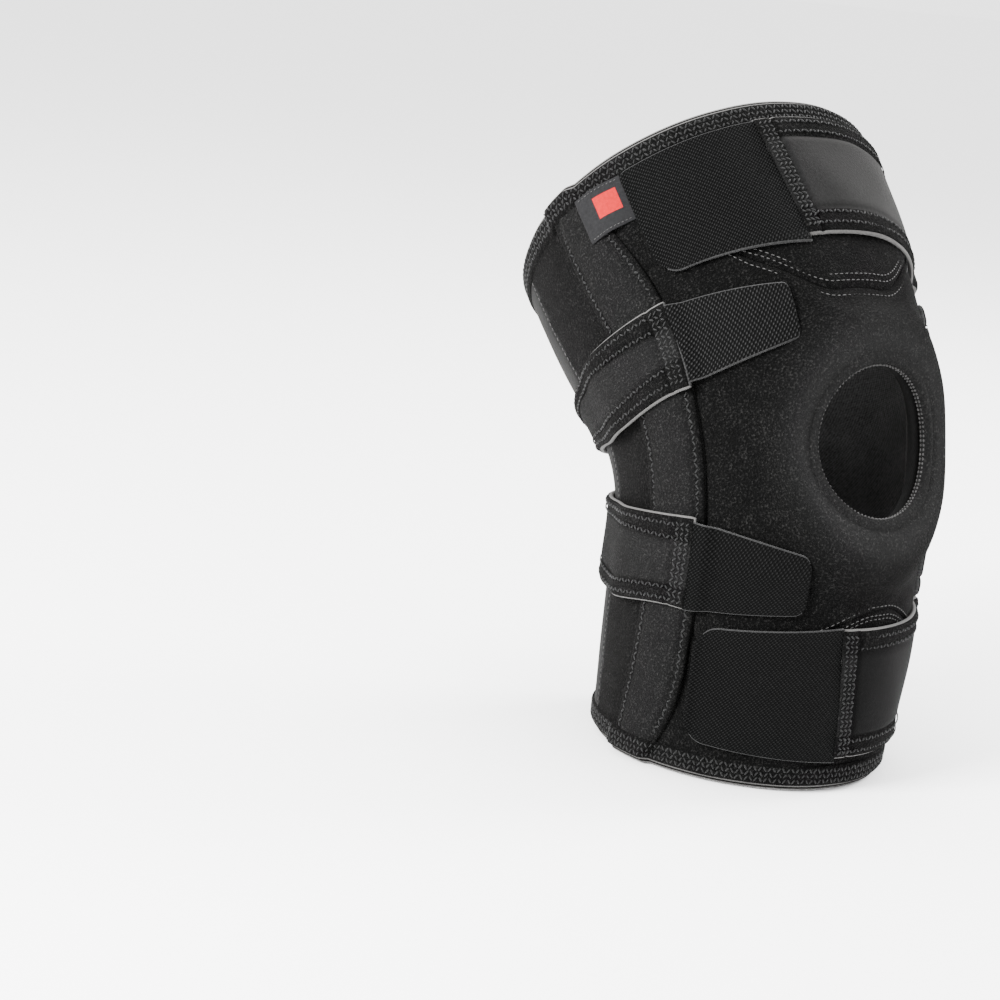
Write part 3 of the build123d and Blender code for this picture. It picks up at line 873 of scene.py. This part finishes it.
# ---- stitches
def stitchTree():
    tree = bpy.data.node_groups.new("stitchRow", "GeometryNodeTree")
    face = tree.interface
    face.new_socket(name="Points", in_out="INPUT", socket_type="NodeSocketGeometry")
    face.new_socket(name="Thread", in_out="INPUT", socket_type="NodeSocketMaterial")
    face.new_socket(name="Seed", in_out="INPUT", socket_type="NodeSocketInt")
    face.new_socket(name="Stitches", in_out="OUTPUT", socket_type="NodeSocketGeometry")
    nodes, links = tree.nodes, tree.links
    source, sink = nodes.new("NodeGroupInput"), nodes.new("NodeGroupOutput")
    bead = nodes.new("GeometryNodeMeshUVSphere")
    bead.inputs["Segments"].default_value = 6
    bead.inputs["Rings"].default_value = 4
    bead.inputs["Radius"].default_value = 1.0

    def attribute(name):
        node = nodes.new("GeometryNodeInputNamedAttribute")
        node.data_type = "FLOAT_VECTOR"
        node.inputs["Name"].default_value = name
        return node.outputs["Attribute"]

    turned = nodes.new("FunctionNodeAxesToRotation")
    turned.primary_axis = "Z"
    turned.secondary_axis = "X"
    links.new(attribute("upward"), turned.inputs["Primary Axis"])
    links.new(attribute("along"), turned.inputs["Secondary Axis"])
    vary = nodes.new("FunctionNodeRandomValue")
    vary.data_type = "FLOAT_VECTOR"
    vary.inputs[0].default_value = (0.85, 0.85, 0.8)
    vary.inputs[1].default_value = (1.12, 1.15, 1.15)
    links.new(source.outputs["Seed"], vary.inputs["Seed"])
    size = nodes.new("ShaderNodeVectorMath")
    size.operation = "MULTIPLY"
    links.new(vary.outputs[0], size.inputs[0])
    links.new(attribute("size"), size.inputs[1])
    lay = nodes.new("GeometryNodeInstanceOnPoints")
    links.new(source.outputs["Points"], lay.inputs["Points"])
    links.new(bead.outputs["Mesh"], lay.inputs["Instance"])
    links.new(turned.outputs["Rotation"], lay.inputs["Rotation"])
    links.new(size.outputs["Vector"], lay.inputs["Scale"])
    real = nodes.new("GeometryNodeRealizeInstances")
    links.new(lay.outputs["Instances"], real.inputs["Geometry"])
    dress = nodes.new("GeometryNodeSetMaterial")
    links.new(real.outputs["Geometry"], dress.inputs["Geometry"])
    links.new(source.outputs["Thread"], dress.inputs["Material"])
    links.new(dress.outputs["Geometry"], sink.inputs["Stitches"])
    return tree


tree = stitchTree()


def row(turn, run, lift, pitch, length, width=0.45, slant=0.0, both=False):
    # stitches along a line on the leg: places, directions, normals and sizes; slant turns them off the line,
    # to alternate sides when both is set
    turn, run, lift = np.broadcast_arrays(turn, run, lift)
    fine = onLeg(turn, run, lift)
    gone = np.concatenate([[0], np.cumsum(np.linalg.norm(np.diff(fine, axis=0), axis=1))]) / mm
    count = max(2, int(gone[-1] / pitch))
    at = (np.arange(count) + 0.5) * gone[-1] / count
    t, r, l = (np.interp(at, gone, v) for v in (turn, run, lift))
    place = onLeg(t, r, l)
    up = onLeg(t, r, l + 1) - place
    up /= np.linalg.norm(up, axis=1, keepdims=True)
    ahead = np.gradient(place, axis=0)
    ahead /= np.linalg.norm(ahead, axis=1, keepdims=True)
    side = np.cross(up, ahead)
    hand = np.where(np.arange(count) % 2, 1, -1) if both else np.ones(count)
    angle = np.radians(slant) * hand[:, None]
    ahead = ahead * np.cos(angle) + side * np.sin(angle)
    size = np.broadcast_to(np.array([length, width, width * 0.8]) / 2 * mm, (count, 3))
    return place, ahead, up, size


def sewn(name, rows, material, attach):
    place, ahead, up, size = (np.concatenate(v) for v in zip(*rows))
    mesh = bpy.data.meshes.new(name + "Points")
    mesh.from_pydata([tuple(v) for v in place], [], [])
    for key, values in (("along", ahead), ("upward", up), ("size", size)):
        layer = mesh.attributes.new(key, "FLOAT_VECTOR", "POINT")
        layer.data.foreach_set("vector", values.astype(np.float32).ravel())
    carrier = bpy.data.objects.new(name + "Points", mesh)
    bpy.context.scene.collection.objects.link(carrier)
    modifier = carrier.modifiers.new("stitches", "NODES")
    modifier.node_group = tree
    for item in tree.interface.items_tree:
        if item.in_out == "INPUT" and item.name == "Thread":
            modifier[item.identifier] = material
        if item.in_out == "INPUT" and item.name == "Seed":
            modifier[item.identifier] = 7
    graph = bpy.context.evaluated_depsgraph_get()
    made = bpy.data.meshes.new_from_object(carrier.evaluated_get(graph))
    made.name = name
    bpy.data.objects.remove(carrier)
    for key in ("along", "upward", "size"):
        if key in made.attributes:
            made.attributes.remove(made.attributes[key])
    made.polygons.foreach_set("use_smooth", [True] * len(made.polygons))
    piece = bpy.data.objects.new(name, made)
    bpy.context.scene.collection.objects.link(piece)
    attach(piece)


def ride(body):
    return lambda piece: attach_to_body(piece, body)


def bends(zone):
    return lambda piece: bendWithKnee(piece, *zones[zone])


def span(low, high, count=260):
    return np.linspace(low, high, count)


gussetTurns = span(-58, 49)


def seamRow(runs):
    return row(gussetTurns, runs, 0.15, 2.4, 1.7, 0.5)


upperRun, lowerRun = upperGusset(gussetTurns), lowerGusset(gussetTurns)
sewn("thighGussetStitches", [seamRow(upperRun + gap) for gap in (1.8, 3.4)], greyThread, ride("thigh_cuff"))
sewn("calfGussetStitches", [seamRow(lowerRun - gap) for gap in (1.8, 3.4)], greyThread, ride("calf_cuff"))
sewn("kneeGussetStitches", [seamRow(upperRun - 1.8), seamRow(lowerRun + 1.8)], greyThread, bends("front"))


def overRim(run, direction):
    # overlock along a rim
    t = span(-180, 180, 900)
    runs = [run + direction * gap for gap in (1.4, 3.6, 5.8)]
    return [row(t, r, overRimParts(t, r) + rim["proud"], 1.9, 2.4, 0.8, 55, True) for r in runs]


sewn("thighRimStitches", overRim(thighRim + 0.4, -1), blackThread, ride("thigh_cuff"))
sewn("calfRimStitches", overRim(rim["gap"] + 0.4, 1), blackThread, ride("calf_cuff"))


def edgeRows(low, high, runLow, runHigh, gaps=(2.2, 6.6)):
    t = span(low, high)
    rows = []
    for gap in gaps:
        for r in (runLow(t) + gap, runHigh(t) - gap):
            rows.append(row(t, r, overChannels(t) + strap["thick"] + 0.1, 2.0, 2.1, 0.75, 42, True))
    return rows


def endRows(turnAt, low, high, gaps, sign):
    r = span(low, high)
    rows = []
    for gap in gaps:
        t = turnAt(r) + sign * gap * np.degrees(2 / (halfWidth(r) + halfDepth(r)))
        rows.append(row(t, r, overChannels(t) + strap["thick"] + 0.15, 1.9, 2.3, 0.75, 50, True))
    return rows


sewn("topStrapStitches", edgeRows(-102, 12, *topRuns) + endRows(topSeam, 172, 218.5, (1.6, 3.6, 5.6), -1)
     + endRows(bandTurn, 172, 218.5, (2.0, 4.0), 1), blackThread, ride("thigh_cuff"))
sewn("bottomStrapStitches", edgeRows(-102, 2, *bottomRuns) + endRows(bottomSeam, 16, 66, (1.6, 3.6, 5.6), -1)
     + endRows(bandTurn, 16, 66, (2.0, 4.0), 1), blackThread, ride("calf_cuff"))
for word, settings in midStraps.items():
    seam = constant(settings["seam"])
    rows = edgeRows(settings["seam"] + 6, 294, settings["low"], constant(settings["high"]))
    low = float(settings["low"](settings["seam"]))
    rows += endRows(seam, low + 1, settings["high"] - 1, (1.6, 3.6, 5.6), 1)
    rows += endRows(constant(296.0), low + 1, settings["high"] - 1, (2.0, 4.0), -1)
    sewn(word + "MidStrapStitches", rows, blackThread, bends("rear"))

rows = []
for side in (1, -1):
    r = span(9, rimRun - 10)
    for turnAt, gap in ((channelFront, 2.2), (channelRear, -2.2)):
        t = turnAt(r) + gap * np.degrees(2 / (halfWidth(r) + halfDepth(r)))
        rows.append(row(side * t, r, 2.55, 2.1, 2.4, 0.8, 40, True))
sewn("channelStitches", rows, blackThread, bends("side"))

r = span(3, rimRun - 4)
rows = [row(180 + side * 65 + 0 * r, r, -0.1, 2.4, 1.6, 0.5) for side in (1, -1)]
sewn("backSeamStitches", rows, greyThread, bends("rear"))

rows = []
around = np.linspace(0, 2 * math.pi, 400)
for out, lift in ((-0.1, -1.4), (0.1, -2.6)):
    start = holeReach(around, hole["radius"])
    t, r = fromHole(around, start + out)
    rows.append(row(t, r, lift, 1.8, 1.2, 1.0))
sewn("rimOverlock", rows, greyThread, bends("front"))

turnLow, turnHigh = labelSpot["turns"]
runLow, runHigh = labelSpot["runs"]
t = span(turnLow + 0.8, turnHigh - 0.8)
rows = [row(t, r, underLabel(t) + 0.7, 1.6, 1.2, 0.35) for r in (runLow + 0.8, runHigh - 0.8)]
sewn("labelStitches", rows, greyThread, ride("thigh_cuff"))
print("stitches laid")

# ---- floor, light and camera
floorSize = 6.0
floorDrop = -0.0006
corners = [(x * floorSize, y * floorSize, floorDrop) for x, y in ((-1, -1), (1, -1), (1, 1), (-1, 1))]
floorMaterial, nodes, links, shader = principled("paleFloor")
shader.inputs["Base Color"].default_value = (0.95, 0.95, 0.95, 1)
shader.inputs["Roughness"].default_value = 0.9
shader.inputs["Specular IOR Level"].default_value = 0.1
floor = meshObject("floor", corners, [(0, 1, 2, 3)], [floorMaterial])

world = bpy.data.worlds.new("studio")
world.use_nodes = True
world.node_tree.nodes["Background"].inputs["Color"].default_value = (1, 1, 1, 1)
world.node_tree.nodes["Background"].inputs["Strength"].default_value = 2.8
bpy.context.scene.world = world


def softbox(name, spot, aim, size, power):
    light = bpy.data.lights.new(name, "AREA")
    light.shape = "RECTANGLE"
    light.size, light.size_y = size
    light.energy = power
    lamp = bpy.data.objects.new(name, light)
    lamp.location = spot
    lamp.rotation_euler = (Vector(aim) - Vector(spot)).to_track_quat("-Z", "Y").to_euler()
    bpy.context.scene.collection.objects.link(lamp)


softbox("keyLight", (1.2, -0.15, 0.85), (0, 0, 0.17), (0.5, 0.5), 42)
softbox("fillLight", (-1.35, -0.15, 0.75), (0, 0, 0.13), (0.6, 0.6), 120)
softbox("topLight", (0.1, 0.2, 1.4), (0, 0, 0.15), (0.9, 0.9), 25)

view = {
    "azimuth": -36.0, "elevation": 13.0, "roll": 7.0, "distance": 1.111, "lens": 100.0, "right": 0.1116,
    "up": 0.0280,
}
az, el, roll = (math.radians(view[k]) for k in ("azimuth", "elevation", "roll"))
backward = Vector((math.sin(az) * math.cos(el), -math.cos(az) * math.cos(el), math.sin(el)))
level = Vector((math.cos(az), math.sin(az), 0))
upward = backward.cross(level)
rightward = level * math.cos(roll) + upward * math.sin(roll)
upright = upward * math.cos(roll) - level * math.sin(roll)
spot = kneeAxis + backward * view["distance"] - rightward * view["right"] - upright * view["up"]
cameraData = bpy.data.cameras.new("camera")
cameraData.lens = view["lens"]
camera = bpy.data.objects.new("camera", cameraData)
bpy.context.scene.collection.objects.link(camera)
rows = [[rightward[i], upright[i], backward[i], spot[i]] for i in range(3)]
camera.matrix_world = Matrix(rows + [[0, 0, 0, 1]])
bpy.context.scene.camera = camera
